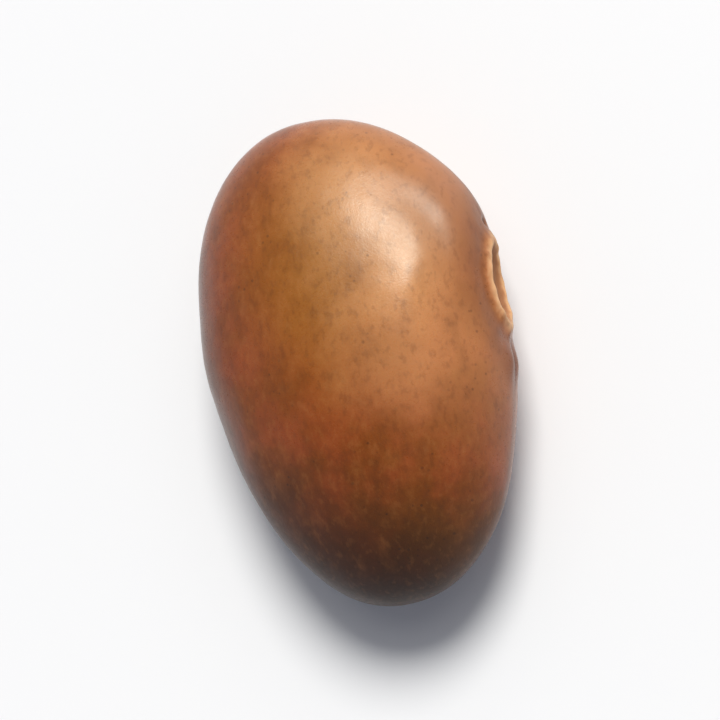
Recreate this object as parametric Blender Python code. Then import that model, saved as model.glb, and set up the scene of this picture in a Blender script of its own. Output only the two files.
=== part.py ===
"""A horse gram: one dry seed lying on its broad side.

The numbers are in metres and +Z is up. The seed's length runs along Y and the scar where it hung in
its pod faces +X. The origin is under the middle of the seed, on the flat spot that it rests on.
"""
import math

import bmesh
import bpy
from mathutils import Vector, noise

MM = 0.001

# Driving dimensions of the whole seed
LENGTH = 5.6 * MM
WIDTH = 3.6 * MM
THICKNESS = 2.1 * MM
REST_CUT = 0.035 * MM

# Outline of the broad side
OUTLINE_POWER = 2.12
EGG_SHARE = 0.08
END_SLANT = 0.08
BEND = 0.05 * MM

# Section: the rim is sharper along the back and the ends than on the scar side
EDGE_POWER_BACK = 0.55
EDGE_POWER_SCAR = 0.45
SCAR_SIDE_FROM = 0.35
SCAR_SIDE_TO = 0.95

# Scar: a pale collar round a sunken bed with a slit along it
SCAR_ALONG = 0.5 * MM
SCAR_HALF_LENGTH = 0.5 * MM
SCAR_HALF_WIDTH = 0.26 * MM
COLLAR_HEIGHT = 0.065 * MM
COLLAR_SHARE = 0.24
BED_DEPTH = 0.05 * MM
BED_SHARE = 0.5
SLIT_DEPTH = 0.07 * MM
SLIT_HALF_WIDTH = 0.05 * MM
SLIT_HALF_LENGTH = 0.32 * MM
SLIT_END = 0.07 * MM
HOLLOW_DEPTH = 0.075 * MM
HOLLOW_REACH = 0.6 * MM

# Small twin bump beyond one end of the scar, and the pore at its other end
BUMP_GAP = 0.4 * MM
BUMP_HEIGHT = 0.045 * MM
BUMP_LENGTH = 0.2 * MM
BUMP_TWIN_OFFSET = 0.1 * MM
BUMP_TWIN_REACH = 0.12 * MM
PORE_GAP = 0.2 * MM
PORE_DEPTH = 0.05 * MM
PORE_RADIUS = 0.06 * MM

# Root lobe: the swelling along the rim from the scar towards +Y, with a faint crease beside it
LOBE_TURN = math.radians(45)
LOBE_SPREAD = math.radians(18)
LOBE_HEIGHT = 0.08 * MM
LOBE_FACE_SPREAD = math.radians(20)
LOBE_RIDGE_HEIGHT = 0.045 * MM
LOBE_RIDGE_OUTWARDS = 0.92
LOBE_RIDGE_SPREAD = 0.09
CREASE_DEPTH = 0.055 * MM
CREASE_OUTWARDS = 0.79
CREASE_SPREAD = 0.08

# The scar's relief fades in over these shares of the way towards +X
RELIEF_FROM = 0.4
RELIEF_TO = 0.75

# Unevenness of the dried coat
WAVE_HEIGHT = 0.022 * MM
WAVES = 1.9

# Mesh: an odd number of cuts leaves a row of edges along the rim, and the scar is made finer twice
BALL_CUTS = 19
FINE_REACHES = (2.5, 1.5)
SHARP_ANGLE = math.radians(30)

# Seed coat
COAT_COLOUR = (0.30, 0.115, 0.045, 1.0)
COAT_ROUGHNESS = 0.42


def hump(distance, reach):
    """A smooth rise that is 1 at no distance and fades out past the reach."""
    return math.exp(-((distance / reach) ** 2))


def step_up(low, high, value):
    """0 below low, 1 above high and a smooth ramp between them."""
    share = min(max((value - low) / (high - low), 0.0), 1.0)
    return share * share * (3.0 - 2.0 * share)


def outline_point(turn):
    """Point on the rim, seen from above, at a turn from +Y towards +X."""
    across = math.sin(turn)
    along = math.cos(turn)
    sides = abs(2.0 * across / WIDTH) ** OUTLINE_POWER + abs(2.0 * along / LENGTH) ** OUTLINE_POWER
    radius = sides ** (-1.0 / OUTLINE_POWER)
    radius += LOBE_HEIGHT * hump(turn - LOBE_TURN, LOBE_SPREAD)
    x = radius * across * (1.0 + EGG_SHARE * along)
    y = radius * along
    y *= 1.0 - END_SLANT * (2.0 * x / WIDTH) * step_up(0.0, 1.0, along)
    x += BEND * ((2.0 * y / LENGTH) ** 2 - 0.5)
    return x, y


def face_relief(turn, outwards):
    """How much the root lobe and its crease lift each broad face, at a share of the way to the rim."""
    along_lobe = hump(turn - LOBE_TURN, LOBE_FACE_SPREAD)
    ridge = LOBE_RIDGE_HEIGHT * hump(outwards - LOBE_RIDGE_OUTWARDS, LOBE_RIDGE_SPREAD)
    crease = CREASE_DEPTH * hump(outwards - CREASE_OUTWARDS, CREASE_SPREAD)
    return along_lobe * (ridge - crease)


def body_point(direction):
    """The seed's plain body, before the scar, for a direction from its middle."""
    outwards = min(math.hypot(direction.x, direction.y), 1.0)
    turn = math.atan2(direction.x, direction.y)
    rim_x, rim_y = outline_point(turn)
    scar_side = step_up(SCAR_SIDE_FROM, SCAR_SIDE_TO, math.sin(turn))
    edge_power = EDGE_POWER_BACK + (EDGE_POWER_SCAR - EDGE_POWER_BACK) * scar_side
    rise = abs(direction.z) ** (2.0 * edge_power)
    height = rise * (0.5 * THICKNESS + face_relief(turn, outwards))
    point = Vector((outwards * rim_x, outwards * rim_y, math.copysign(height, direction.z)))
    wave = WAVE_HEIGHT * noise.noise(direction * WAVES)
    return point + direction * wave


def scar_distance(point):
    """How far a point is from the scar's middle, where 1 is the collar's crest."""
    along = (point.y - SCAR_ALONG) / SCAR_HALF_LENGTH
    across = point.z / SCAR_HALF_WIDTH
    return math.hypot(along, across)


def scar_relief(point):
    """How far the surface on the scar side stands out from the plain body."""
    along = point.y - SCAR_ALONG
    distance = scar_distance(point)
    hollow = HOLLOW_DEPTH * hump(along, HOLLOW_REACH)
    collar = COLLAR_HEIGHT * hump(distance - 1.0, COLLAR_SHARE)
    bed = BED_DEPTH * (1.0 - step_up(BED_SHARE, 1.0, distance))
    slit = SLIT_DEPTH * hump(point.z, SLIT_HALF_WIDTH)
    slit *= 1.0 - step_up(SLIT_HALF_LENGTH - SLIT_END, SLIT_HALF_LENGTH + SLIT_END, abs(along))
    bump_middle = -(SCAR_HALF_LENGTH + BUMP_GAP)
    bump = BUMP_HEIGHT * hump(along - bump_middle, BUMP_LENGTH)
    bump *= hump(abs(point.z) - BUMP_TWIN_OFFSET, BUMP_TWIN_REACH)
    pore_middle = SCAR_HALF_LENGTH + PORE_GAP
    pore = PORE_DEPTH * hump(math.hypot(along - pore_middle, point.z), PORE_RADIUS)
    return collar + bump - hollow - bed - slit - pore


def seed_point(direction):
    """The seed's finished surface for a direction from its middle."""
    point = body_point(direction)
    point.x += step_up(RELIEF_FROM, RELIEF_TO, direction.x) * scar_relief(point)
    return point


def make_ball(bm):
    """Round a finely cut cube out to a ball of radius 1."""
    bmesh.ops.create_cube(bm, size=2.0)
    bmesh.ops.subdivide_edges(bm, edges=bm.edges, cuts=BALL_CUTS, use_grid_fill=True)
    for vert in bm.verts:
        vert.co.normalize()


def refine_round_scar(bm, reach):
    """Split the ball's edges that will lie within a reach of the scar, in collar half-sizes."""
    edges = []
    for edge in bm.edges:
        middle = (edge.verts[0].co + edge.verts[1].co).normalized()
        if middle.x > 0.0 and scar_distance(body_point(middle)) < reach:
            edges.append(edge)
    bmesh.ops.subdivide_edges(bm, edges=edges, cuts=1, use_grid_fill=True)
    for vert in bm.verts:
        vert.co.normalize()


def cut_rest_spot(bm):
    """Cut the belly level where it rests, and set that level at zero."""
    level = min(vert.co.z for vert in bm.verts) + REST_CUT
    everything = bm.verts[:] + bm.edges[:] + bm.faces[:]
    bmesh.ops.bisect_plane(
        bm,
        geom=everything,
        plane_co=(0.0, 0.0, level),
        plane_no=(0.0, 0.0, -1.0),
        clear_outer=True,
    )
    rim = [edge for edge in bm.edges if edge.is_boundary]
    bmesh.ops.contextual_create(bm, geom=rim)
    bmesh.ops.translate(bm, vec=(0.0, 0.0, -level), verts=bm.verts)


def centre_over_origin(bm):
    """Move the seed so that the middle of its length and width is over the origin."""
    xs = [vert.co.x for vert in bm.verts]
    ys = [vert.co.y for vert in bm.verts]
    shift = Vector((-0.5 * (min(xs) + max(xs)), -0.5 * (min(ys) + max(ys)), 0.0))
    bmesh.ops.translate(bm, vec=shift, verts=bm.verts)


def coat_material():
    """Reddish brown seed coat with a soft gloss."""
    material = bpy.data.materials.new("seed_coat")
    material.use_nodes = True
    shader = material.node_tree.nodes["Principled BSDF"]
    shader.inputs["Base Color"].default_value = COAT_COLOUR
    shader.inputs["Roughness"].default_value = COAT_ROUGHNESS
    shader.inputs["Metallic"].default_value = 0.0
    material.diffuse_color = COAT_COLOUR
    return material


def make_seed(collection):
    """Shape the whole seed from a ball."""
    bm = bmesh.new()
    make_ball(bm)
    for reach in FINE_REACHES:
        refine_round_scar(bm, reach)
    for vert in bm.verts:
        vert.co = seed_point(vert.co)
    bmesh.ops.triangulate(bm, faces=bm.faces)
    cut_rest_spot(bm)
    centre_over_origin(bm)
    bmesh.ops.recalc_face_normals(bm, faces=bm.faces)
    mesh = bpy.data.meshes.new("seed")
    bm.to_mesh(mesh)
    bm.free()
    mesh.shade_smooth()
    mesh.set_sharp_from_angle(angle=SHARP_ANGLE)
    mesh.materials.append(coat_material())
    seed = bpy.data.objects.new("seed", mesh)
    collection.objects.link(seed)


def main():
    for item in list(bpy.data.objects):
        bpy.data.objects.remove(item)
    collection = bpy.data.collections.new("Horse gram")
    bpy.context.scene.collection.children.link(collection)
    make_seed(collection)


main()
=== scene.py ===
"""The looks of one horse gram: a dry seed lying on its broad side on a pale floor.

The numbers are in metres and +Z is up. The seed's length runs along Y, with its slanted end at +Y, and its
scar faces +X. Forms are worked out round the seed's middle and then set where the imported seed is.
"""
import math

import bmesh
import bpy
from mathutils import Matrix, Vector, noise


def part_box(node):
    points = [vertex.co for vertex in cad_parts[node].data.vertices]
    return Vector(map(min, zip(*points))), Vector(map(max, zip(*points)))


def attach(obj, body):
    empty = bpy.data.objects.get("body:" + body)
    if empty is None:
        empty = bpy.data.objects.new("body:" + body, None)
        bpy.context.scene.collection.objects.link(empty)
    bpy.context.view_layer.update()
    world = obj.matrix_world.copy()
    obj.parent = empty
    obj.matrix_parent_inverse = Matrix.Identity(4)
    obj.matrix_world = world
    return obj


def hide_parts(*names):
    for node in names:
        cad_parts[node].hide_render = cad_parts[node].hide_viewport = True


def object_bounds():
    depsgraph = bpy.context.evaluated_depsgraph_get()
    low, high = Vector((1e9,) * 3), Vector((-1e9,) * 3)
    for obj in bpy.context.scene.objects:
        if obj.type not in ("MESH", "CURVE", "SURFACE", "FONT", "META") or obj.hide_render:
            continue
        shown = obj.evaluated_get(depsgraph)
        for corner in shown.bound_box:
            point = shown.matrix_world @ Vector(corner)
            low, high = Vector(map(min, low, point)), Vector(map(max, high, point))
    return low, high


MM = 0.001

# Whole seed, as in the part
LENGTH = 5.6 * MM
WIDTH = 3.6 * MM
THICKNESS = 2.1 * MM
OUTLINE_POWER = 2.12
EGG_SHARE = 0.08
END_SLANT = 0.08
BEND = 0.05 * MM
EDGE_POWER_BACK = 0.55
EDGE_POWER_SCAR = 0.45
SCAR_SIDE_FROM = 0.35
SCAR_SIDE_TO = 0.95
WAVE_HEIGHT = 0.022 * MM
WAVES = 1.9

# Scar, with the twin bump beyond one end and the pore at the other, as in the part
SCAR_ALONG = 0.5 * MM
SCAR_HALF_LENGTH = 0.5 * MM
SCAR_HALF_WIDTH = 0.26 * MM
COLLAR_HEIGHT = 0.065 * MM
COLLAR_SHARE = 0.24
BED_DEPTH = 0.05 * MM
BED_SHARE = 0.5
SLIT_DEPTH = 0.07 * MM
SLIT_HALF_WIDTH = 0.05 * MM
SLIT_HALF_LENGTH = 0.32 * MM
SLIT_END = 0.07 * MM
HOLLOW_DEPTH = 0.075 * MM
HOLLOW_REACH = 0.6 * MM
BUMP_ALONG = -0.9 * MM
BUMP_HEIGHT = 0.045 * MM
BUMP_LENGTH = 0.2 * MM
BUMP_TWIN_OFFSET = 0.1 * MM
BUMP_TWIN_REACH = 0.12 * MM
PORE_ALONG = 0.7 * MM
PORE_DEPTH = 0.05 * MM
PORE_RADIUS = 0.06 * MM
RELIEF_FROM = 0.4
RELIEF_TO = 0.75

# Root lobe and its crease, as in the part
LOBE_TURN = math.radians(45)
LOBE_SPREAD = math.radians(18)
LOBE_HEIGHT = 0.08 * MM
LOBE_FACE_SPREAD = math.radians(20)
LOBE_RIDGE_HEIGHT = 0.045 * MM
LOBE_RIDGE_OUTWARDS = 0.92
LOBE_RIDGE_SPREAD = 0.09
CREASE_DEPTH = 0.055 * MM
CREASE_OUTWARDS = 0.79
CREASE_SPREAD = 0.08

# Fine forms of the dried coat: heights, and how many waves there are in a millimetre
DENT_HEIGHT = 0.010 * MM
DENTS_PER_MM = 1.1
PEEL_HEIGHT = 0.0028 * MM
PEEL_PER_MM = 4.3
SEAM_HEIGHT = 0.007 * MM
SEAM_HALF_WIDTH = 0.045 * MM
SEAM_FADES_FROM = -0.2 * WIDTH
SEAM_FADES_TO = 0.3 * WIDTH

# Fine forms of the scar. The wrinkles' distance and spread are in collar half-sizes, and their drift is
# how fast they change on the way outwards.
WRINKLE_HEIGHT = 0.010 * MM
WRINKLE_DISTANCE = 1.55
WRINKLE_SPREAD = 0.45
WRINKLES = 3.6
WRINKLE_DRIFT = 0.3
CRINKLE_HEIGHT = 0.018 * MM
CRINKLES_PER_MM = 8.5
FIBRE_HEIGHT = 0.010 * MM
FIBRES_PER_MM = Vector((6.0, 5.0, 24.0))

# Mesh: an odd number of cuts leaves a row of edges along the rim, and the scar is made finer twice
BALL_CUTS = 95
FINE_REACHES = (2.3, 1.5)

# Camera: the direction that it stands in, and how it is turned about its own line of sight
CAMERA_FROM = Vector((0.309, -0.1045, 1.0))
CAMERA_TURN = math.radians(12)
CAMERA_DISTANCE = 34.0 * MM
CAMERA_LENS = 150.0

# Light: a narrow core inside a broad halo, and a sky that is brighter low down
LIGHT_FROM = Vector((0.25, 0.57, 0.78))
LIGHT_COLOUR = (0.98, 0.96, 0.84)
LIGHT_CORE = {"energy": 3.5, "angle": math.radians(24), "in_gloss": True}
LIGHT_HALO = {"energy": 0.8, "angle": math.radians(60), "in_gloss": False}
SKY_OVERHEAD = 0.12
SKY_LOW_DOWN = 0.52
SKY_COLOUR = (0.90, 0.94, 1.0, 1.0)
FLOOR_HALF_SIZE = 0.4
FLOOR_ROUGHNESS = 0.6


def paint(red, green, blue):
    """A colour given as it looks on a screen, from 0 to 255, as the shaders' linear colour."""
    linear = []
    for level in (red, green, blue):
        share = level / 255
        linear.append(share / 12.92 if share <= 0.04045 else ((share + 0.055) / 1.055) ** 2.4)
    return (*linear, 1.0)


# Colours of the seed
RED_BROWN = paint(136, 64, 29)
ORANGE_BROWN = paint(122, 62, 18)
GOLDEN_BROWN = paint(142, 89, 30)
PINK_TAN = paint(204, 142, 94)
# Cream of the painted highlight
HIGHLIGHT_CREAM = paint(208, 156, 108)
# Dark, dusk and olive brown are painted shade; dark brown also colours the seam
DARK_BROWN = paint(68, 36, 17)
SHADE_DUSK_BROWN = paint(33, 15, 9)
SHADE_OLIVE_BROWN = paint(72, 43, 9)
# Grey brown of the painted shade on the root lobe
SHADE_GREY_BROWN = paint(120, 92, 76)
FLECK_BROWN = paint(76, 38, 18)
SPECK_BROWN = paint(46, 26, 18)
PALE_BROWN = paint(166, 108, 62)
COLLAR_PEACH = paint(216, 170, 128)
BED_TAN = paint(158, 106, 70)
SLIT_BROWN = paint(88, 52, 34)
HALO_BROWN = paint(96, 44, 16)
FLOOR_WHITE = paint(227, 228, 239)

# Random patterns of the coat: how many there are in a millimetre, how rough their edges are, and their
# average. The mottles and flecks are drawn out along Y.
BROAD_PER_MM = 0.5
PATCHES_PER_MM = 1.3
MOTTLES_PER_MM = 5.0
FLECKS_PER_MM = 13.0
GRAIN_PER_MM = 26.0
FINE_GRAIN_PER_MM = 55.0
PINPOINTS_PER_MM = 9.0
DRAWN_OUT = (1.0, 0.6, 1.0)
PATTERN_ROUGHNESS = 0.6
AVERAGE = 0.5

# Zones of the coat: each fades out over its reach from its own middle along X and Y, in millimetres. A
# share_along below 1 draws the zone out along Y, and its edge strays in and out with the patches.
GOLDEN_ZONE = {
    "middle": (0.1, 1.1), "share_along": 0.7, "reach": (0.1, 1.5), "strays": 1.2,
    "colour": GOLDEN_BROWN, "strength": 0.85,
}
# The cream and pale zones are a painted highlight, a streak from the upper middle towards the scar
HIGHLIGHT_ZONE = {
    "middle": (0.45, 1.8), "share_along": 0.7, "reach": (0.0, 1.1), "strays": 1.0,
    "colour": HIGHLIGHT_CREAM, "strength": 0.42,
}
HIGHLIGHT_TAIL_ZONE = {
    "middle": (0.95, 0.85), "share_along": 0.8, "reach": (0.0, 0.75), "strays": 0.6,
    "colour": HIGHLIGHT_CREAM, "strength": 0.5,
}
PINK_ZONE = {
    "middle": (0.75, 0.05), "share_along": 0.8, "reach": (0.1, 1.0), "strays": 1.0,
    "colour": PINK_TAN, "strength": 0.38,
}
# The lobe zone's grey is painted shade on the root lobe beyond the crease
LOBE_ZONE = {
    "middle": (1.35, 1.4), "share_along": 1.0, "reach": (0.1, 0.9), "strays": 0.5,
    "colour": SHADE_GREY_BROWN, "strength": 0.34,
}

# Tan coat on the scar's side: where it sets in along X and along Y, in millimetres
TAN_ACROSS = (0.1, 1.6)
TAN_ALONG = (-1.8, 0.2)
TAN_STRAYS = 1.2
TAN_STRENGTH = 0.38

# Painted shade: the narrow end, turned from the light, is darkened, its tip most, olive on the scar's side
# Shaded narrow end: where it sets in, in millimetres towards -Y, with a slanting edge that strays
SHADED_END = (0.75, 2.3)
SHADED_TIP = (1.6, 3.0)
SHADED_END_SLANT = 0.4
SHADED_END_STRAYS = 0.9
SHADED_END_STRAYS_FINELY = 0.5
SHADED_END_STRENGTH = 0.85
OLIVE_ACROSS = (-0.6, 1.0)

# Tints that follow a random pattern: the pattern's levels where they fade in or out, and their strength
ORANGE_LEVELS = (0.35, 0.65)
STAIN_LEVELS = (0.45, 0.7)
DARK_MOTTLES = {"levels": (0.48, 0.72), "strength": 0.16, "more_at_shaded_end": 0.2}
PALE_MOTTLES = {"levels": (0.26, 0.50), "strength": 0.12, "more_at_shaded_end": -0.04}
DARK_FLECKS = {"levels": (0.5, 0.7), "strength": 0.22, "more_at_shaded_end": 0.0}
PALE_FLECKS = {"levels": (0.3, 0.48), "strength": 0.14, "more_at_shaded_end": -0.06}

# Pinpoints: their edge in shares of their spacing, and the levels of the patches where they gather
PINPOINT_EDGE = (0.06, 0.2)
PINPOINT_STRAYS = 0.25
PINPOINT_LEVELS = (0.46, 0.62)
PINPOINTS_AT_SHADED_END = 0.4
PINPOINT_STRENGTH = 0.45

# The back edge, turned from the light, is darkened as painted shade; the seam is the coat's own
# Shaded back edge and darker seam: where they set in and fade out, in millimetres from the seed's middle
SHADED_BACK_EDGE = (1.1, 1.75)
SHADED_BACK_EDGE_STRAYS = 0.4
SHADED_BACK_EDGE_STRENGTH = 0.5
SEAM_EDGE = (0.02, 0.09)
SEAM_STRAYS = 0.05
SEAM_STRENGTH = 0.3

# Scar's colours: they set in along X in millimetres, and their edges are in collar half-sizes from the
# scar's middle, where 1 is the collar's crest
SCAR_ACROSS = (0.7, 1.1)
SCAR_STRAYS = 0.2
SCAR_EDGE = (1.0, 1.24)
BED_EDGE = (0.74, 0.94)
HALO_INNER_EDGE = (1.15, 1.35)
HALO_OUTER_EDGE = (1.5, 2.7)

# Slit's colour: how many slit half-sizes there are in a millimetre along Y and Z, and its edge in them
SLIT_SIZES_PER_MM = (2.6, 14.0)
SLIT_EDGE = (0.5, 1.05)

# Bump's and pore's colours: their edges in millimetres, the bump drawn out along Y
BUMP_SHARE_ALONG = 0.8
BUMP_EDGE = (0.06, 0.32)
BUMP_STRAYS = 0.7
PORE_EDGE = (0.01, 0.08)

# Gloss: how rough the plain coat is, how much rougher some places are, and the clear layer over it
ROUGHNESS = 0.30
ROUGHER_BY_PATCHES = 0.10
ROUGHER_BY_GRAIN = 0.20
ROUGHER_AT_SHADED_END = 0.15
ROUGHER_ON_LOBE = 0.2
ROUGHER_ON_SCAR = 0.3
CLEAR_LAYER = 0.22
LESS_CLEAR_AT_SHADED_END = 0.16

# Fine unevenness: how deep it is, and the shares of the patterns in it
UNEVEN_DEPTH = 0.006 * MM
UNEVEN_BY_FLECKS = 0.5
UNEVEN_BY_GRAIN = 0.6
UNEVEN_BY_FINE_GRAIN = 0.5


def hump(distance, reach):
    """A smooth rise that is 1 at no distance and fades out past the reach."""
    return math.exp(-((distance / reach) ** 2))


def step_up(low, high, value):
    """0 below low, 1 above high and a smooth ramp between them."""
    share = min(max((value - low) / (high - low), 0.0), 1.0)
    return share * share * (3.0 - 2.0 * share)


def outline_point(turn):
    """Point on the rim, seen from above, at a turn from +Y towards +X."""
    across = math.sin(turn)
    along = math.cos(turn)
    sides = abs(2.0 * across / WIDTH) ** OUTLINE_POWER + abs(2.0 * along / LENGTH) ** OUTLINE_POWER
    radius = sides ** (-1.0 / OUTLINE_POWER)
    radius += LOBE_HEIGHT * hump(turn - LOBE_TURN, LOBE_SPREAD)
    x = radius * across * (1.0 + EGG_SHARE * along)
    y = radius * along
    y *= 1.0 - END_SLANT * (2.0 * x / WIDTH) * step_up(0.0, 1.0, along)
    x += BEND * ((2.0 * y / LENGTH) ** 2 - 0.5)
    return x, y


def face_relief(turn, outwards):
    """How much the root lobe and its crease lift each broad face, at a share of the way to the rim."""
    along_lobe = hump(turn - LOBE_TURN, LOBE_FACE_SPREAD)
    ridge = LOBE_RIDGE_HEIGHT * hump(outwards - LOBE_RIDGE_OUTWARDS, LOBE_RIDGE_SPREAD)
    crease = CREASE_DEPTH * hump(outwards - CREASE_OUTWARDS, CREASE_SPREAD)
    return along_lobe * (ridge - crease)


def body_point(direction):
    """The seed's plain body, before the scar, for a direction from its middle."""
    outwards = min(math.hypot(direction.x, direction.y), 1.0)
    turn = math.atan2(direction.x, direction.y)
    rim_x, rim_y = outline_point(turn)
    scar_side = step_up(SCAR_SIDE_FROM, SCAR_SIDE_TO, math.sin(turn))
    edge_power = EDGE_POWER_BACK + (EDGE_POWER_SCAR - EDGE_POWER_BACK) * scar_side
    rise = abs(direction.z) ** (2.0 * edge_power)
    height = rise * (0.5 * THICKNESS + face_relief(turn, outwards))
    point = Vector((outwards * rim_x, outwards * rim_y, math.copysign(height, direction.z)))
    wave = WAVE_HEIGHT * noise.noise(direction * WAVES)
    return point + direction * wave


def scar_distance(point):
    """How far a point is from the scar's middle, where 1 is the collar's crest."""
    along = (point.y - SCAR_ALONG) / SCAR_HALF_LENGTH
    across = point.z / SCAR_HALF_WIDTH
    return math.hypot(along, across)


def scar_relief(point):
    """How far the surface on the scar side stands out from the plain body."""
    along = point.y - SCAR_ALONG
    distance = scar_distance(point)
    hollow = HOLLOW_DEPTH * hump(along, HOLLOW_REACH)
    collar = COLLAR_HEIGHT * hump(distance - 1.0, COLLAR_SHARE)
    bed = BED_DEPTH * (1.0 - step_up(BED_SHARE, 1.0, distance))
    slit = SLIT_DEPTH * hump(point.z, SLIT_HALF_WIDTH)
    slit *= 1.0 - step_up(SLIT_HALF_LENGTH - SLIT_END, SLIT_HALF_LENGTH + SLIT_END, abs(along))
    bump = BUMP_HEIGHT * hump(along - BUMP_ALONG, BUMP_LENGTH)
    bump *= hump(abs(point.z) - BUMP_TWIN_OFFSET, BUMP_TWIN_REACH)
    pore = PORE_DEPTH * hump(math.hypot(along - PORE_ALONG, point.z), PORE_RADIUS)
    return collar + bump - hollow - bed - slit - pore


def seed_point(direction):
    """The seed's surface, with its scar, for a direction from its middle."""
    point = body_point(direction)
    point.x += step_up(RELIEF_FROM, RELIEF_TO, direction.x) * scar_relief(point)
    return point


def scar_texture(point):
    """Height of the crinkled collar, the fibrous bed and the wrinkles that run out from the scar."""
    spot = point / MM
    distance = scar_distance(point)
    collar = hump(distance - 1.0, COLLAR_SHARE)
    bed = 1.0 - step_up(BED_SHARE, 1.0, distance)
    crinkles = CRINKLE_HEIGHT * collar * noise.noise(spot * CRINKLES_PER_MM)
    fibres = FIBRE_HEIGHT * bed * noise.noise(spot * FIBRES_PER_MM)
    turn = math.atan2(point.z / SCAR_HALF_WIDTH, (point.y - SCAR_ALONG) / SCAR_HALF_LENGTH)
    round_scar = Vector((math.cos(turn), math.sin(turn), WRINKLE_DRIFT * distance))
    ring = hump(distance - WRINKLE_DISTANCE, WRINKLE_SPREAD)
    wrinkles = WRINKLE_HEIGHT * ring * noise.noise(round_scar * WRINKLES)
    return crinkles + fibres + wrinkles


def coat_texture(point):
    """Height of the dried coat's fine forms above the smooth surface."""
    spot = point / MM
    dents = DENT_HEIGHT * noise.noise(spot * DENTS_PER_MM)
    peel = PEEL_HEIGHT * noise.noise(spot * PEEL_PER_MM)
    near_scar = 0.0
    if point.x > 0.0:
        near_scar = scar_texture(point)
    seam = SEAM_HEIGHT * hump(point.z, SEAM_HALF_WIDTH)
    seam *= 1.0 - step_up(SEAM_FADES_FROM, SEAM_FADES_TO, point.x)
    return dents + peel + seam + near_scar


def make_ball(bm):
    """Round a finely cut cube out to a ball of radius 1."""
    bmesh.ops.create_cube(bm, size=2.0)
    bmesh.ops.subdivide_edges(bm, edges=bm.edges, cuts=BALL_CUTS, use_grid_fill=True)
    for vert in bm.verts:
        vert.co.normalize()


def refine_round_scar(bm, reach):
    """Split the ball's edges that will lie within a reach of the scar, in collar half-sizes."""
    edges = []
    for edge in bm.edges:
        middle = (edge.verts[0].co + edge.verts[1].co).normalized()
        if middle.x > 0.0 and scar_distance(body_point(middle)) < reach:
            edges.append(edge)
    bmesh.ops.subdivide_edges(bm, edges=edges, cuts=1, use_grid_fill=True)
    for vert in bm.verts:
        vert.co.normalize()


def add_texture(bm):
    """Raise the fine forms square to the smooth surface."""
    bm.normal_update()
    raised = [vert.co + vert.normal * coat_texture(vert.co) for vert in bm.verts]
    for vert, place in zip(bm.verts, raised):
        vert.co = place


def set_on_packed_seed(bm, low, high):
    """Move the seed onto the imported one's box by its middle and its top. Returns how far it moved."""
    xs = [vert.co.x for vert in bm.verts]
    ys = [vert.co.y for vert in bm.verts]
    top = max(vert.co.z for vert in bm.verts)
    shift = Vector((
        0.5 * (low.x + high.x) - 0.5 * (min(xs) + max(xs)),
        0.5 * (low.y + high.y) - 0.5 * (min(ys) + max(ys)),
        high.z - top,
    ))
    bmesh.ops.translate(bm, vec=shift, verts=bm.verts)
    return shift


def cut_rest_spot(bm):
    """Cut the belly level with the floor where the seed rests."""
    everything = bm.verts[:] + bm.edges[:] + bm.faces[:]
    bmesh.ops.bisect_plane(
        bm,
        geom=everything,
        plane_co=(0.0, 0.0, 0.0),
        plane_no=(0.0, 0.0, -1.0),
        clear_outer=True,
    )
    rim = [edge for edge in bm.edges if edge.is_boundary]
    bmesh.ops.contextual_create(bm, geom=rim)


def make_seed_skin():
    """Shape the whole seed from a fine ball. Returns it and where its middle is."""
    low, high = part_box("seed")
    bm = bmesh.new()
    make_ball(bm)
    for reach in FINE_REACHES:
        refine_round_scar(bm, reach)
    for vert in bm.verts:
        vert.co = seed_point(vert.co)
    add_texture(bm)
    middle = set_on_packed_seed(bm, low, high)
    cut_rest_spot(bm)
    bmesh.ops.recalc_face_normals(bm, faces=bm.faces)
    mesh = bpy.data.meshes.new("seed_skin")
    bm.to_mesh(mesh)
    bm.free()
    mesh.shade_smooth()
    skin = bpy.data.objects.new("seed_skin", mesh)
    bpy.context.scene.collection.objects.link(skin)
    return skin, middle


class Shade:
    """One output of a layout's nodes. Sums and products of numbers become Math nodes."""

    def __init__(self, layout, socket):
        self.layout = layout
        self.socket = socket

    def __add__(self, other):
        return self.layout.math("ADD", self, other)

    def __radd__(self, other):
        return self.layout.math("ADD", other, self)

    def __sub__(self, other):
        return self.layout.math("SUBTRACT", self, other)

    def __rsub__(self, other):
        return self.layout.math("SUBTRACT", other, self)

    def __mul__(self, other):
        return self.layout.math("MULTIPLY", self, other)

    def __rmul__(self, other):
        return self.layout.math("MULTIPLY", other, self)

    def __neg__(self):
        return self.layout.math("MULTIPLY", self, -1.0)

    def __abs__(self):
        return self.layout.math("ABSOLUTE", self, 0.0)


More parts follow.
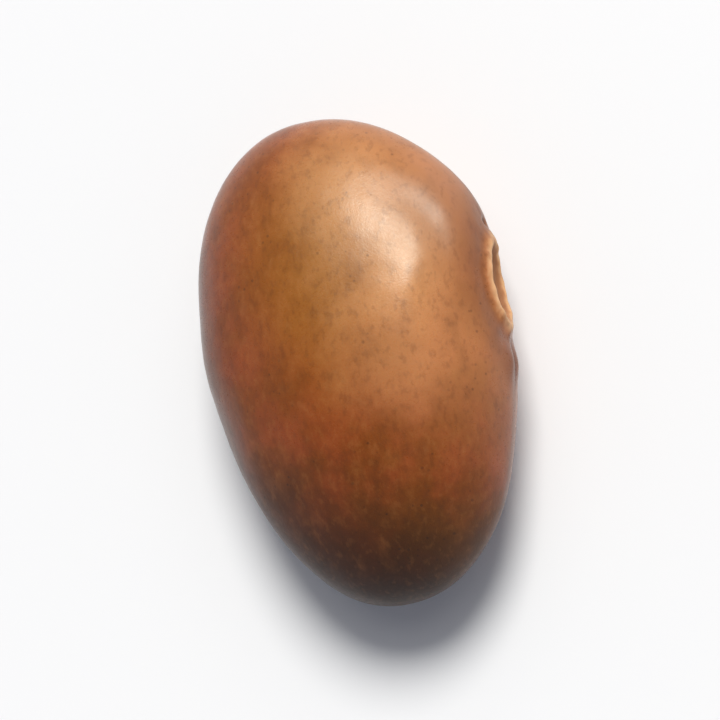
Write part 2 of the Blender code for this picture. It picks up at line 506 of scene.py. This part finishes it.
class Layout:
    """The nodes of a material or of the sky while they are laid out."""

    def __init__(self, tree):
        self.tree = tree

    def feed(self, node, values):
        """Set or link each named socket of a node."""
        for name, value in values.items():
            socket = next(item for item in node.inputs if item.identifier == name)
            if isinstance(value, Shade):
                self.tree.links.new(value.socket, socket)
            else:
                socket.default_value = value

    def node(self, kind, settings, values, result):
        """Add a node: its settings first, then a value or a link for each of its sockets."""
        made = self.tree.nodes.new(kind)
        for name, value in settings.items():
            setattr(made, name, value)
        self.feed(made, values)
        return Shade(self, next(item for item in made.outputs if item.identifier == result))

    def math(self, operation, first, second):
        values = {"Value": first, "Value_001": second}
        return self.node("ShaderNodeMath", {"operation": operation}, values, "Value")

    def vector_math(self, operation, first, second):
        values = {"Vector": first, "Vector_001": second}
        return self.node("ShaderNodeVectorMath", {"operation": operation}, values, "Vector")

    def split(self, vector):
        """The three parts of a vector."""
        return [self.node("ShaderNodeSeparateXYZ", {}, {"Vector": vector}, part) for part in "XYZ"]

    def length(self, first, second):
        """Length of the slanting side over two numbers."""
        flat = self.node("ShaderNodeCombineXYZ", {}, {"X": first, "Y": second}, "Vector")
        return self.node("ShaderNodeVectorMath", {"operation": "LENGTH"}, {"Vector": flat}, "Value")

    def step_up(self, low, high, value):
        """0 below low, 1 above high and a smooth ramp between them."""
        values = {"Value": value, "From Min": low, "From Max": high}
        return self.node("ShaderNodeMapRange", {"interpolation_type": "SMOOTHSTEP"}, values, "Result")

    def step_down(self, low, high, value):
        """1 below low, 0 above high and a smooth ramp between them."""
        return 1.0 - self.step_up(low, high, value)

    def clouds(self, place, per_mm, detail):
        """Soft random patches. place is in millimetres."""
        values = {"Vector": place, "Scale": per_mm, "Detail": detail, "Roughness": PATTERN_ROUGHNESS}
        return self.node("ShaderNodeTexNoise", {}, values, "Fac")

    def dots(self, place, per_mm):
        """Distance from the nearest of many scattered points, in shares of their spacing."""
        return self.node("ShaderNodeTexVoronoi", {}, {"Vector": place, "Scale": per_mm}, "Distance")

    def blend(self, mask, under, over):
        """One colour over another where the mask is 1."""
        values = {"Factor_Float": mask, "A_Color": under, "B_Color": over}
        return self.node("ShaderNodeMix", {"data_type": "RGBA"}, values, "Result_Color")


class CoatPatterns:
    """Where a point of the coat is, in millimetres from the seed's middle, and its random patterns."""

    def __init__(self, coat, middle):
        self.coat = coat
        where = coat.node("ShaderNodeTexCoord", {}, {}, "Object")
        from_middle = coat.vector_math("SUBTRACT", where, middle)
        self.place = coat.vector_math("MULTIPLY", from_middle, (1 / MM,) * 3)
        self.x, self.y, self.z = coat.split(self.place)
        self.broad = coat.clouds(self.place, BROAD_PER_MM, detail=1.0)
        self.patches = coat.clouds(self.place, PATCHES_PER_MM, detail=3.0)
        drawn_out = coat.vector_math("MULTIPLY", self.place, DRAWN_OUT)
        self.mottles = coat.clouds(drawn_out, MOTTLES_PER_MM, detail=3.0)
        self.flecks = coat.clouds(drawn_out, FLECKS_PER_MM, detail=2.0)
        self.grain = coat.clouds(self.place, GRAIN_PER_MM, detail=2.0)
        self.fine_grain = coat.clouds(self.place, FINE_GRAIN_PER_MM, detail=1.0)
        self.dots = coat.dots(self.place, PINPOINTS_PER_MM)
        # Painted shade: the narrow end and, darker still, its tip, with a slanting edge that strays
        towards_end = -self.y - SHADED_END_SLANT * self.x + SHADED_END_STRAYS * (self.patches - AVERAGE)
        towards_end = towards_end + SHADED_END_STRAYS_FINELY * (self.mottles - AVERAGE)
        self.shaded_end = coat.step_up(*SHADED_END, towards_end)
        self.shaded_tip = coat.step_up(*SHADED_TIP, towards_end)
        self.lobe = self.inside(LOBE_ZONE)

    def inside(self, zone):
        """1 at a zone's middle and 0 past its reach."""
        middle_x, middle_y = zone["middle"]
        distance = self.coat.length(self.x - middle_x, (self.y - middle_y) * zone["share_along"])
        return self.coat.step_down(*zone["reach"], distance + zone["strays"] * (self.patches - AVERAGE))

    def strength(self, tint):
        """How strongly a tint shows on the plain coat and under the painted shade of the narrow end."""
        return tint["strength"] + tint["more_at_shaded_end"] * self.shaded_end


class ScarMasks:
    """Where the scar's parts lie, as masks from 0 to 1, worked out as the shape is."""

    def __init__(self, coat, spot):
        straying = SCAR_STRAYS * (spot.flecks - AVERAGE)
        side = coat.step_up(*SCAR_ACROSS, spot.x)
        along = spot.y - SCAR_ALONG / MM
        distance = coat.length(along * (MM / SCAR_HALF_LENGTH), spot.z * (MM / SCAR_HALF_WIDTH)) + straying
        self.whole = side * coat.step_down(*SCAR_EDGE, distance)
        self.bed = side * coat.step_down(*BED_EDGE, distance)
        self.collar = self.whole - self.bed
        past_collar = side * coat.step_up(*HALO_INNER_EDGE, distance)
        self.halo = past_collar * coat.step_down(*HALO_OUTER_EDGE, distance)
        per_mm_along, per_mm_across = SLIT_SIZES_PER_MM
        slit_distance = coat.length(along * per_mm_along, spot.z * per_mm_across)
        self.slit = side * coat.step_down(*SLIT_EDGE, slit_distance + straying)
        bump_distance = coat.length((along - BUMP_ALONG / MM) * BUMP_SHARE_ALONG, spot.z)
        self.bump = side * coat.step_down(*BUMP_EDGE, bump_distance + BUMP_STRAYS * straying)
        pore_distance = coat.length(along - PORE_ALONG / MM, spot.z)
        self.pore = side * coat.step_down(*PORE_EDGE, pore_distance)


def patched_colour(coat, spot):
    """Red and orange brown, golden in the upper middle, a painted cream highlight, tan at the scar,
    painted grey shade on the lobe.
    """
    colour = coat.blend(coat.step_up(*ORANGE_LEVELS, spot.patches), RED_BROWN, ORANGE_BROWN)
    # Golden zone, then the painted highlight over it
    for zone in (GOLDEN_ZONE, HIGHLIGHT_ZONE, HIGHLIGHT_TAIL_ZONE):
        colour = coat.blend(zone["strength"] * spot.inside(zone), colour, zone["colour"])
    across = coat.step_up(*TAN_ACROSS, spot.x + TAN_STRAYS * (spot.broad - AVERAGE))
    tan = across * coat.step_up(*TAN_ALONG, spot.y)
    colour = coat.blend(TAN_STRENGTH * tan, colour, PINK_TAN)
    colour = coat.blend(PINK_ZONE["strength"] * spot.inside(PINK_ZONE), colour, PINK_ZONE["colour"])
    # Painted grey shade on the root lobe
    return coat.blend(LOBE_ZONE["strength"] * spot.lobe, colour, LOBE_ZONE["colour"])


def shaded_end_colour(coat, spot, colour):
    """The colour with painted shade over its narrow end, olive on the scar's side, and darker at the tip.
    """
    shade_brown = coat.blend(coat.step_up(*OLIVE_ACROSS, spot.x), DARK_BROWN, SHADE_OLIVE_BROWN)
    colour = coat.blend(SHADED_END_STRENGTH * spot.shaded_end, colour, shade_brown)
    return coat.blend(SHADED_END_STRENGTH * spot.shaded_tip, colour, SHADE_DUSK_BROWN)


def mottled_colour(coat, spot, colour):
    """The colour with its soft mottles, flecks and pinpoints."""
    dark_mottles = coat.step_up(*DARK_MOTTLES["levels"], spot.mottles)
    colour = coat.blend(dark_mottles * spot.strength(DARK_MOTTLES), colour, FLECK_BROWN)
    pale_mottles = coat.step_down(*PALE_MOTTLES["levels"], spot.mottles)
    colour = coat.blend(pale_mottles * spot.strength(PALE_MOTTLES), colour, PALE_BROWN)
    dark_flecks = coat.step_up(*DARK_FLECKS["levels"], spot.flecks)
    colour = coat.blend(dark_flecks * spot.strength(DARK_FLECKS), colour, FLECK_BROWN)
    pale_flecks = coat.step_down(*PALE_FLECKS["levels"], spot.flecks)
    colour = coat.blend(pale_flecks * spot.strength(PALE_FLECKS), colour, PALE_BROWN)
    gathered = coat.step_up(*PINPOINT_LEVELS, spot.patches) + PINPOINTS_AT_SHADED_END * spot.shaded_end
    distance = spot.dots + PINPOINT_STRAYS * (spot.flecks - AVERAGE)
    pinpoints = coat.step_down(*PINPOINT_EDGE, distance) * gathered
    return coat.blend(PINPOINT_STRENGTH * pinpoints, colour, SPECK_BROWN)


def edged_colour(coat, spot, colour):
    """The colour with painted shade on its back edge and the darker seam round the rim."""
    shaded_back_edge = coat.step_up(*SHADED_BACK_EDGE, -spot.x + SHADED_BACK_EDGE_STRAYS * (spot.mottles - AVERAGE))
    colour = coat.blend(SHADED_BACK_EDGE_STRENGTH * shaded_back_edge, colour, DARK_BROWN)
    seam = coat.step_down(*SEAM_EDGE, abs(spot.z) + SEAM_STRAYS * (spot.mottles - AVERAGE))
    return coat.blend(SEAM_STRENGTH * seam, colour, DARK_BROWN)


def scarred_colour(coat, spot, scar, colour):
    """The colour with the scar's darker surround and bump, peach collar, tan bed, dark slit and pore."""
    stains = scar.whole * coat.step_up(*STAIN_LEVELS, spot.mottles)
    for strength, mask, over in (
        (0.5, scar.halo, HALO_BROWN),
        (0.45, scar.bump, HALO_BROWN),
        (0.85, scar.collar, COLLAR_PEACH),
        (1.0, scar.bed, BED_TAN),
        (0.3, stains, SLIT_BROWN),
        (0.9, scar.slit, SLIT_BROWN),
        (0.7, scar.pore, SPECK_BROWN),
    ):
        colour = coat.blend(strength * mask, colour, over)
    return colour


def seed_coat(middle):
    """Thin smooth dry coat with a soft gloss, and the dull scar."""
    material = bpy.data.materials.new("dry_seed_coat")
    material.use_nodes = True
    coat = Layout(material.node_tree)
    spot = CoatPatterns(coat, middle)
    scar = ScarMasks(coat, spot)
    colour = patched_colour(coat, spot)
    colour = shaded_end_colour(coat, spot, colour)
    colour = mottled_colour(coat, spot, colour)
    colour = edged_colour(coat, spot, colour)
    colour = scarred_colour(coat, spot, scar, colour)
    height = UNEVEN_BY_FLECKS * spot.flecks + UNEVEN_BY_GRAIN * spot.grain
    height = height + UNEVEN_BY_FINE_GRAIN * spot.fine_grain
    unevenness = {"Strength": 0.3, "Distance": UNEVEN_DEPTH, "Height": height}
    roughness = ROUGHNESS + ROUGHER_BY_PATCHES * (spot.patches - AVERAGE)
    roughness = roughness + ROUGHER_BY_GRAIN * (spot.grain - AVERAGE)
    roughness = roughness + ROUGHER_AT_SHADED_END * spot.shaded_end + ROUGHER_ON_LOBE * spot.lobe
    coat.feed(material.node_tree.nodes["Principled BSDF"], {
        "Base Color": colour,
        "Roughness": roughness + ROUGHER_ON_SCAR * scar.whole,
        "Normal": coat.node("ShaderNodeBump", {}, unevenness, "Normal"),
        "Specular IOR Level": 0.38,
        "Coat Weight": (CLEAR_LAYER - LESS_CLEAR_AT_SHADED_END * spot.shaded_end) * (1.0 - scar.whole),
        "Coat Roughness": 0.3,
        "Subsurface Weight": 0.08,
        "Subsurface Radius": (1.0, 0.45, 0.2),
        "Subsurface Scale": 0.25 * MM,
    })
    return material


def make_floor():
    """A wide pale floor under the seed."""
    bm = bmesh.new()
    bmesh.ops.create_grid(bm, x_segments=1, y_segments=1, size=FLOOR_HALF_SIZE)
    mesh = bpy.data.meshes.new("floor")
    bm.to_mesh(mesh)
    bm.free()
    floor = bpy.data.objects.new("floor", mesh)
    material = bpy.data.materials.new("white_floor")
    material.use_nodes = True
    shader = material.node_tree.nodes["Principled BSDF"]
    shader.inputs["Base Color"].default_value = FLOOR_WHITE
    shader.inputs["Roughness"].default_value = FLOOR_ROUGHNESS
    mesh.materials.append(material)
    bpy.context.scene.collection.objects.link(floor)
    return floor


def make_light():
    """A soft light from beyond the slanted end, a little on the scar's side, and a pale sky."""
    for name, glow in (("light_core", LIGHT_CORE), ("light_halo", LIGHT_HALO)):
        lamp = bpy.data.lights.new(name, "SUN")
        lamp.color = LIGHT_COLOUR
        lamp.energy = glow["energy"]
        lamp.angle = glow["angle"]
        light = bpy.data.objects.new(name, lamp)
        light.rotation_euler = LIGHT_FROM.to_track_quat("Z", "Y").to_euler()
        light.visible_glossy = glow["in_gloss"]
        bpy.context.scene.collection.objects.link(light)
    world = bpy.data.worlds.new("pale_sky")
    world.use_nodes = True
    sky = Layout(world.node_tree)
    where = sky.node("ShaderNodeTexCoord", {}, {}, "Generated")
    height = sky.node("ShaderNodeSeparateXYZ", {}, {"Vector": where}, "Z")
    strength = SKY_LOW_DOWN + (SKY_OVERHEAD - SKY_LOW_DOWN) * sky.step_up(0.0, 1.0, height)
    sky.feed(world.node_tree.nodes["Background"], {"Color": SKY_COLOUR, "Strength": strength})
    bpy.context.scene.world = world


def make_camera(low, high):
    """Camera almost straight above, leaning towards the scar and the narrow end."""
    middle = 0.5 * (low + high)
    back = CAMERA_FROM.normalized()
    upwards = Vector((math.sin(CAMERA_TURN), math.cos(CAMERA_TURN), 0.0))
    right = upwards.cross(back).normalized()
    turn = Matrix((right, back.cross(right), back)).transposed()
    lens = bpy.data.cameras.new("camera")
    lens.lens = CAMERA_LENS
    lens.clip_start = MM
    lens.clip_end = 1.0
    camera = bpy.data.objects.new("camera", lens)
    camera.matrix_world = Matrix.Translation(middle + CAMERA_DISTANCE * back) @ turn.to_4x4()
    bpy.context.scene.collection.objects.link(camera)
    bpy.context.scene.camera = camera


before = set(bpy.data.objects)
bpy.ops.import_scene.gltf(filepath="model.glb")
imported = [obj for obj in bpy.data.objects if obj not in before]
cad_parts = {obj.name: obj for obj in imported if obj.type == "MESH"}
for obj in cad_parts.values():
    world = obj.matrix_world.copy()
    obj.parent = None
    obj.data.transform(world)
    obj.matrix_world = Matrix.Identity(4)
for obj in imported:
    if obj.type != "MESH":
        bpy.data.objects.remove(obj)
cad_low, cad_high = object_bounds()
make_camera(cad_low, cad_high)
make_light()
make_floor()
bpy.context.scene.view_settings.view_transform = "Standard"

seed_skin, seed_middle = make_seed_skin()
seed_skin.data.materials.append(seed_coat(seed_middle))
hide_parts("seed")
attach(seed_skin, "root")
